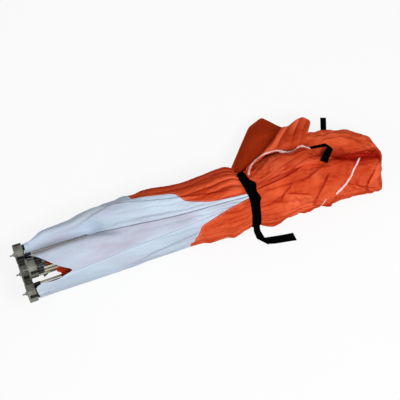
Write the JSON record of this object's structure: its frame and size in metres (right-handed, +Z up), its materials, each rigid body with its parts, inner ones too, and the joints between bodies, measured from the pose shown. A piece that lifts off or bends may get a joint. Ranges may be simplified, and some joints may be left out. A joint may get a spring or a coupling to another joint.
{
  "type": "winter cube tent",
  "caption": "Cube-shaped pop-up winter tent, folded and strapped: umbrella hubs with hinged rods inside a gathered white and orange canopy.",
  "frame": {"origin": "flat underside of the gathered canopy where it rests on the ground, 0.42 m behind the hub row", "axes": "+X along the folded rods from the hubs to the tips, +Y to the back, +Z up"},
  "size_m": [1.3778, 0.4328, 0.2121],
  "materials": {
    "hub_metal": "satin",
    "bolt_steel": "satin",
    "rod_fibre": "satin",
    "corner_plastic": "matte",
    "white_cloth": "matte",
    "orange_cloth": "matte",
    "black_webbing": "matte"
  },
  "bodies": {
    "canopy": {"canopy_white_wrap": "white_cloth", "canopy_waist": "orange_cloth", "canopy_skirt": "orange_cloth", "canopy_back_fold": "orange_cloth", "canopy_small_fold": "orange_cloth", "strap": "black_webbing", "strap_tail": "black_webbing", "tab_upright": "black_webbing", "tab_bent": "black_webbing", "fitting_low_front_right": "corner_plastic"},
    "left_wall_hub": {"left_wall_hub": "hub_metal", "left_wall_hub_bolt": "bolt_steel"},
    "left_wall_rod_low_back_left": {"left_wall_rod_low_back_left": "rod_fibre", "fitting_low_back_left": "corner_plastic"},
    "left_wall_rod_low_front_left": {"left_wall_rod_low_front_left": "rod_fibre"},
    "left_wall_rod_top_front_left": {"left_wall_rod_top_front_left": "rod_fibre"},
    "left_wall_rod_top_back_left": {"left_wall_rod_top_back_left": "rod_fibre", "fitting_top_back_left": "corner_plastic"},
    "left_wall_cloth_near_half": {"left_wall_cloth_near_half": "white_cloth"},
    "left_wall_cloth_far_half": {"left_wall_cloth_far_half": "white_cloth"},
    "front_wall_hub": {"front_wall_hub": "hub_metal", "front_wall_hub_bolt": "bolt_steel"},
    "front_wall_rod_low_front_right": {"front_wall_rod_low_front_right": "rod_fibre"},
    "front_wall_rod_top_front_right": {"front_wall_rod_top_front_right": "rod_fibre"},
    "front_wall_rod_top_front_left": {"front_wall_rod_top_front_left": "rod_fibre", "fitting_top_front_left": "corner_plastic"},
    "front_wall_rod_low_front_left": {"front_wall_rod_low_front_left": "rod_fibre", "fitting_low_front_left": "corner_plastic"},
    "front_wall_cloth_near_half": {"front_wall_cloth_near_half": "white_cloth"},
    "front_wall_cloth_far_half": {"front_wall_cloth_far_half": "white_cloth"},
    "right_wall_hub": {"right_wall_hub": "hub_metal", "right_wall_hub_bolt": "bolt_steel"},
    "right_wall_rod_top_back_right": {"right_wall_rod_top_back_right": "rod_fibre", "fitting_top_back_right": "corner_plastic"},
    "right_wall_rod_top_front_right": {"right_wall_rod_top_front_right": "rod_fibre"},
    "right_wall_rod_low_front_right": {"right_wall_rod_low_front_right": "rod_fibre"},
    "right_wall_rod_low_back_right": {"right_wall_rod_low_back_right": "rod_fibre", "fitting_low_back_right": "corner_plastic"},
    "right_wall_cloth_near_half": {"right_wall_cloth_near_half": "white_cloth"},
    "right_wall_cloth_far_half": {"right_wall_cloth_far_half": "white_cloth"},
    "back_wall_hub": {"back_wall_hub": "hub_metal", "back_wall_hub_bolt": "bolt_steel"},
    "back_wall_rod_top_back_right": {"back_wall_rod_top_back_right": "rod_fibre"},
    "back_wall_rod_low_back_right": {"back_wall_rod_low_back_right": "rod_fibre"},
    "back_wall_rod_low_back_left": {"back_wall_rod_low_back_left": "rod_fibre"},
    "back_wall_rod_top_back_left": {"back_wall_rod_top_back_left": "rod_fibre"},
    "back_wall_cloth_near_half": {"back_wall_cloth_near_half": "white_cloth"},
    "back_wall_cloth_far_half": {"back_wall_cloth_far_half": "white_cloth"},
    "roof_hub": {"roof_hub": "hub_metal", "roof_hub_bolt": "bolt_steel"},
    "roof_rod_top_back_left": {"roof_rod_top_back_left": "rod_fibre"},
    "roof_rod_top_front_left": {"roof_rod_top_front_left": "rod_fibre"},
    "roof_rod_top_front_right": {"roof_rod_top_front_right": "rod_fibre", "fitting_top_front_right": "corner_plastic"},
    "roof_rod_top_back_right": {"roof_rod_top_back_right": "rod_fibre"},
    "roof_cloth_near_half": {"roof_cloth_near_half": "orange_cloth"},
    "roof_cloth_far_half": {"roof_cloth_far_half": "orange_cloth"}
  },
  "joints": [
    {"name": "fold", "type": "hinge", "parent": "canopy", "child": "front_wall_rod_low_front_right", "pos_m": [0.82705, 0.03182, 0.07414], "axis": [0.9141, 0.1465, -0.378], "range_deg": [0, 138.11], "deforming": ["canopy_white_wrap", "canopy_waist", "canopy_skirt", "canopy_back_fold", "canopy_small_fold", "strap", "strap_tail", "tab_upright", "tab_bent", "left_wall_cloth_near_half", "left_wall_cloth_far_half", "front_wall_cloth_near_half", "front_wall_cloth_far_half", "right_wall_cloth_near_half", "right_wall_cloth_far_half", "back_wall_cloth_near_half", "back_wall_cloth_far_half", "roof_cloth_near_half", "roof_cloth_far_half"]},
    {"name": "right_wall_corner_low_front_right", "type": "hinge", "parent": "canopy", "child": "right_wall_rod_low_front_right", "pos_m": [0.85373, 0.04242, 0.06388], "axis": [0.7066, -0.5035, -0.4973], "range_deg": [0, 179.51]},
    {"name": "right_wall_pin_low_front_right", "type": "hinge", "parent": "right_wall_rod_low_front_right", "child": "right_wall_hub", "pos_m": [-0.39396, 0.05468, 0.05418], "axis": [0.0124, 0.7071, -0.707], "range_deg": [0, 90.01]},
    {"name": "right_wall_pin_low_back_right", "type": "hinge", "parent": "right_wall_hub", "child": "right_wall_rod_low_back_right", "pos_m": [-0.39431, 0.01932, 0.05418], "axis": [-0.0014, -0.7071, -0.7071], "range_deg": [0, 90.01]},
    {"name": "right_wall_pin_top_back_right", "type": "hinge", "parent": "right_wall_hub", "child": "right_wall_rod_top_back_right", "pos_m": [-0.39404, 0.01932, 0.01882], "axis": [0.0124, 0.7071, -0.707], "range_deg": [0, 90.01]},
    {"name": "right_wall_pin_top_front_right", "type": "hinge", "parent": "right_wall_hub", "child": "right_wall_rod_top_front_right", "pos_m": [-0.39369, 0.05468, 0.01882], "axis": [0.0014, 0.7071, 0.7071], "range_deg": [0, 90.01]},
    {"name": "front_wall_pin_low_front_right", "type": "hinge", "parent": "front_wall_rod_low_front_right", "child": "front_wall_hub", "pos_m": [-0.42047, 0.05633, 0.08291], "axis": [-0.0089, -0.707, 0.7072], "range_deg": [0, 90.01]},
    {"name": "front_wall_pin_low_front_left", "type": "hinge", "parent": "front_wall_hub", "child": "front_wall_rod_low_front_left", "pos_m": [-0.42022, 0.05633, 0.11827], "axis": [-0.0189, -0.707, -0.707], "range_deg": [0, 90.01]},
    {"name": "front_wall_pin_top_front_right", "type": "hinge", "parent": "front_wall_hub", "child": "front_wall_rod_top_front_right", "pos_m": [-0.41978, 0.09167, 0.08291], "axis": [0.0189, 0.707, 0.707], "range_deg": [0, 90.01]},
    {"name": "front_wall_pin_top_front_left", "type": "hinge", "parent": "front_wall_hub", "child": "front_wall_rod_top_front_left", "pos_m": [-0.41953, 0.09167, 0.11826], "axis": [-0.0089, -0.707, 0.7072], "range_deg": [0, 90.01]},
    {"name": "left_wall_corner_low_front_left", "type": "hinge", "parent": "front_wall_rod_low_front_left", "child": "left_wall_rod_low_front_left", "pos_m": [0.82764, 0.01768, 0.07414], "axis": [-0.7021, 0.5094, 0.4975], "range_deg": [0, 89.46]},
    {"name": "left_wall_pin_low_front_left", "type": "hinge", "parent": "left_wall_rod_low_front_left", "child": "left_wall_hub", "pos_m": [-0.42012, 0.01768, 0.08291], "axis": [-0.005, -0.7071, -0.7071], "range_deg": [0, 90.01]},
    {"name": "left_wall_pin_low_back_left", "type": "hinge", "parent": "left_wall_hub", "child": "left_wall_rod_low_back_left", "pos_m": [-0.42012, -0.01768, 0.08291], "axis": [-0.005, 0.7071, -0.7071], "range_deg": [0, 90.01]},
    {"name": "left_wall_pin_top_front_left", "type": "hinge", "parent": "left_wall_hub", "child": "left_wall_rod_top_front_left", "pos_m": [-0.41988, 0.01768, 0.11826], "axis": [0.005, -0.7071, 0.7071], "range_deg": [0, 90.01]},
    {"name": "left_wall_pin_top_back_left", "type": "hinge", "parent": "left_wall_hub", "child": "left_wall_rod_top_back_left", "pos_m": [-0.41988, -0.01768, 0.11826], "axis": [-0.005, -0.7071, -0.7071], "range_deg": [0, 90.01]},
    {"name": "roof_corner_top_back_left", "type": "hinge", "parent": "left_wall_rod_top_back_left", "child": "roof_rod_top_back_left", "pos_m": [0.85282, -0.02557, 0.11959], "axis": [0.2839, 0.9588, -0.0085], "range_deg": [0, 61.61]},
    {"name": "roof_pin_top_back_left", "type": "hinge", "parent": "roof_rod_top_back_left", "child": "roof_hub", "pos_m": [-0.39444, -0.03068, 0.15576], "axis": [0.0234, -0.7071, 0.7067], "range_deg": [0, 90.01]},
    {"name": "roof_pin_top_front_left", "type": "hinge", "parent": "roof_hub", "child": "roof_rod_top_front_left", "pos_m": [-0.39458, 0.00468, 0.15577], "axis": [0.0176, 0.7071, 0.7069], "range_deg": [0, 90.01]},
    {"name": "roof_pin_top_front_right", "type": "hinge", "parent": "roof_hub", "child": "roof_rod_top_front_right", "pos_m": [-0.39356, 0.00468, 0.19111], "axis": [0.0234, -0.7071, 0.7067], "range_deg": [0, 90.01]},
    {"name": "roof_pin_top_back_right", "type": "hinge", "parent": "roof_hub", "child": "roof_rod_top_back_right", "pos_m": [-0.39342, -0.03068, 0.1911], "axis": [-0.0176, -0.7071, -0.7069], "range_deg": [0, 90.01]},
    {"name": "back_wall_corner_low_back_left", "type": "hinge", "parent": "left_wall_rod_low_back_left", "child": "back_wall_rod_low_back_left", "pos_m": [0.8273, -0.03182, 0.1095], "axis": [-0.7021, -0.5094, 0.4975], "range_deg": [0, 89.46]},
    {"name": "back_wall_pin_low_back_left", "type": "hinge", "parent": "back_wall_rod_low_back_left", "child": "back_wall_hub", "pos_m": [-0.42022, -0.05633, 0.11827], "axis": [-0.0189, 0.707, -0.707], "range_deg": [0, 90.01]},
    {"name": "back_wall_pin_low_back_right", "type": "hinge", "parent": "back_wall_hub", "child": "back_wall_rod_low_back_right", "pos_m": [-0.42047, -0.05633, 0.08291], "axis": [-0.0089, 0.707, 0.7072], "range_deg": [0, 90.01]},
    {"name": "back_wall_pin_top_back_left", "type": "hinge", "parent": "back_wall_hub", "child": "back_wall_rod_top_back_left", "pos_m": [-0.41953, -0.09167, 0.11826], "axis": [0.0089, -0.707, -0.7072], "range_deg": [0, 90.01]},
    {"name": "back_wall_pin_top_back_right", "type": "hinge", "parent": "back_wall_hub", "child": "back_wall_rod_top_back_right", "pos_m": [-0.41978, -0.09167, 0.08291], "axis": [-0.0189, 0.707, -0.707], "range_deg": [0, 90.01]},
    {"name": "left_wall_cloth_turn_near_half", "type": "hinge", "parent": "left_wall_rod_low_back_left", "child": "left_wall_cloth_near_half", "pos_m": [-0.44512, -0.01768, 0.08308], "axis": [0.005, 0.7071, 0.7071], "range_deg": [0, 179.52]},
    {"name": "left_wall_cloth_turn_far_half", "type": "hinge", "parent": "left_wall_rod_top_front_left", "child": "left_wall_cloth_far_half", "pos_m": [-0.44488, 0.01768, 0.11844], "axis": [-0.005, -0.7071, -0.7071], "range_deg": [0, 179.52]},
    {"name": "front_wall_cloth_turn_near_half", "type": "hinge", "parent": "front_wall_rod_low_front_right", "child": "front_wall_cloth_near_half", "pos_m": [-0.44547, 0.05682, 0.08309], "axis": [0.0189, 0.707, 0.707], "range_deg": [0, 179.52]},
    {"name": "front_wall_cloth_turn_far_half", "type": "hinge", "parent": "front_wall_rod_top_front_left", "child": "front_wall_cloth_far_half", "pos_m": [-0.44452, 0.09217, 0.11844], "axis": [-0.0189, -0.707, -0.707], "range_deg": [0, 179.52]},
    {"name": "right_wall_cloth_turn_near_half", "type": "hinge", "parent": "right_wall_rod_top_back_right", "child": "right_wall_cloth_near_half", "pos_m": [-0.41903, 0.01957, 0.01863], "axis": [0.0014, 0.7071, 0.7071], "range_deg": [0, 179.52]},
    {"name": "right_wall_cloth_turn_far_half", "type": "hinge", "parent": "right_wall_rod_low_front_right", "child": "right_wall_cloth_far_half", "pos_m": [-0.41896, 0.05492, 0.05398], "axis": [-0.0014, -0.7071, -0.7071], "range_deg": [0, 179.52]},
    {"name": "back_wall_cloth_turn_near_half", "type": "hinge", "parent": "back_wall_rod_top_back_right", "child": "back_wall_cloth_near_half", "pos_m": [-0.44477, -0.09217, 0.08308], "axis": [-0.0089, 0.707, 0.7072], "range_deg": [0, 179.52]},
    {"name": "back_wall_cloth_turn_far_half", "type": "hinge", "parent": "back_wall_rod_low_back_left", "child": "back_wall_cloth_far_half", "pos_m": [-0.44522, -0.05682, 0.11844], "axis": [0.0089, -0.707, -0.7072], "range_deg": [0, 179.52]},
    {"name": "roof_cloth_turn_near_half", "type": "hinge", "parent": "roof_rod_top_back_left", "child": "roof_cloth_near_half", "pos_m": [-0.41943, -0.03078, 0.15649], "axis": [0.0176, 0.7071, 0.7069], "range_deg": [0, 179.52]},
    {"name": "roof_cloth_turn_far_half", "type": "hinge", "parent": "roof_rod_top_front_right", "child": "roof_cloth_far_half", "pos_m": [-0.41855, 0.00458, 0.19183], "axis": [-0.0176, -0.7071, -0.7069], "range_deg": [0, 179.52]}
  ],
  "couplings": [
    {"joint": "right_wall_corner_low_front_right", "follows": "fold", "ratio": 1.2996},
    {"joint": "right_wall_pin_low_front_right", "follows": "fold", "ratio": 0.65165},
    {"joint": "right_wall_pin_low_back_right", "follows": "fold", "ratio": 0.65165},
    {"joint": "right_wall_pin_top_back_right", "follows": "fold", "ratio": 0.65165},
    {"joint": "right_wall_pin_top_front_right", "follows": "fold", "ratio": 0.65165},
    {"joint": "front_wall_pin_low_front_right", "follows": "fold", "ratio": 0.65165},
    {"joint": "front_wall_pin_low_front_left", "follows": "fold", "ratio": 0.65165},
    {"joint": "front_wall_pin_top_front_right", "follows": "fold", "ratio": 0.65165},
    {"joint": "front_wall_pin_top_front_left", "follows": "fold", "ratio": 0.65165},
    {"joint": "left_wall_corner_low_front_left", "follows": "fold", "ratio": 0.64761},
    {"joint": "left_wall_pin_low_front_left", "follows": "fold", "ratio": 0.65165},
    {"joint": "left_wall_pin_low_back_left", "follows": "fold", "ratio": 0.65165},
    {"joint": "left_wall_pin_top_front_left", "follows": "fold", "ratio": 0.65165},
    {"joint": "left_wall_pin_top_back_left", "follows": "fold", "ratio": 0.65165},
    {"joint": "roof_corner_top_back_left", "follows": "fold", "ratio": 0.44596},
    {"joint": "roof_pin_top_back_left", "follows": "fold", "ratio": 0.65165},
    {"joint": "roof_pin_top_front_left", "follows": "fold", "ratio": 0.65165},
    {"joint": "roof_pin_top_front_right", "follows": "fold", "ratio": 0.65165},
    {"joint": "roof_pin_top_back_right", "follows": "fold", "ratio": 0.65165},
    {"joint": "back_wall_corner_low_back_left", "follows": "fold", "ratio": 0.64761},
    {"joint": "back_wall_pin_low_back_left", "follows": "fold", "ratio": 0.65165},
    {"joint": "back_wall_pin_low_back_right", "follows": "fold", "ratio": 0.65165},
    {"joint": "back_wall_pin_top_back_left", "follows": "fold", "ratio": 0.65165},
    {"joint": "back_wall_pin_top_back_right", "follows": "fold", "ratio": 0.65165},
    {"joint": "left_wall_cloth_turn_near_half", "follows": "fold", "ratio": 1.2997},
    {"joint": "left_wall_cloth_turn_far_half", "follows": "fold", "ratio": 1.2997},
    {"joint": "front_wall_cloth_turn_near_half", "follows": "fold", "ratio": 1.2997},
    {"joint": "front_wall_cloth_turn_far_half", "follows": "fold", "ratio": 1.2997},
    {"joint": "right_wall_cloth_turn_near_half", "follows": "fold", "ratio": 1.2997},
    {"joint": "right_wall_cloth_turn_far_half", "follows": "fold", "ratio": 1.2997},
    {"joint": "back_wall_cloth_turn_near_half", "follows": "fold", "ratio": 1.2997},
    {"joint": "back_wall_cloth_turn_far_half", "follows": "fold", "ratio": 1.2997},
    {"joint": "roof_cloth_turn_near_half", "follows": "fold", "ratio": 1.2997},
    {"joint": "roof_cloth_turn_far_half", "follows": "fold", "ratio": 1.2997}
  ]
}
